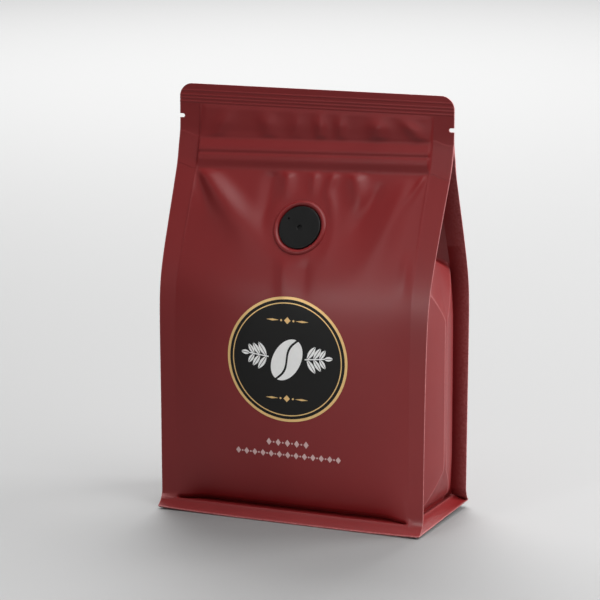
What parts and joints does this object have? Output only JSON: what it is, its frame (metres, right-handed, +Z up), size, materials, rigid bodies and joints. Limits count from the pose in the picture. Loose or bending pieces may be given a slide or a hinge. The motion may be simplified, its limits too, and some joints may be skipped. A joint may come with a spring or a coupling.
{
  "type": "coffee bag",
  "caption": "Shut flat-bottomed coffee bag of matt film with side gussets, a press-to-close band, tear notches and a one-way valve; stands on its own base.",
  "frame": {"origin": "under the middle of the bag, on the surface it stands on", "axes": "+Z up, the front panel faces -Y, the bag's width runs along X"},
  "size_m": [0.13, 0.061, 0.1875],
  "materials": {
    "film": "matt laminated film, soft sheen",
    "valve_plastic": "satin moulded plastic",
    "print_black": "matt printed ink",
    "print_gold": "satin gold printed ink",
    "print_white": "matt printed ink",
    "print_pale": "matt printed ink"
  },
  "bodies": {
    "root": {"bag": "film", "valve_cap": "valve_plastic"}
  },
  "joints": []
}
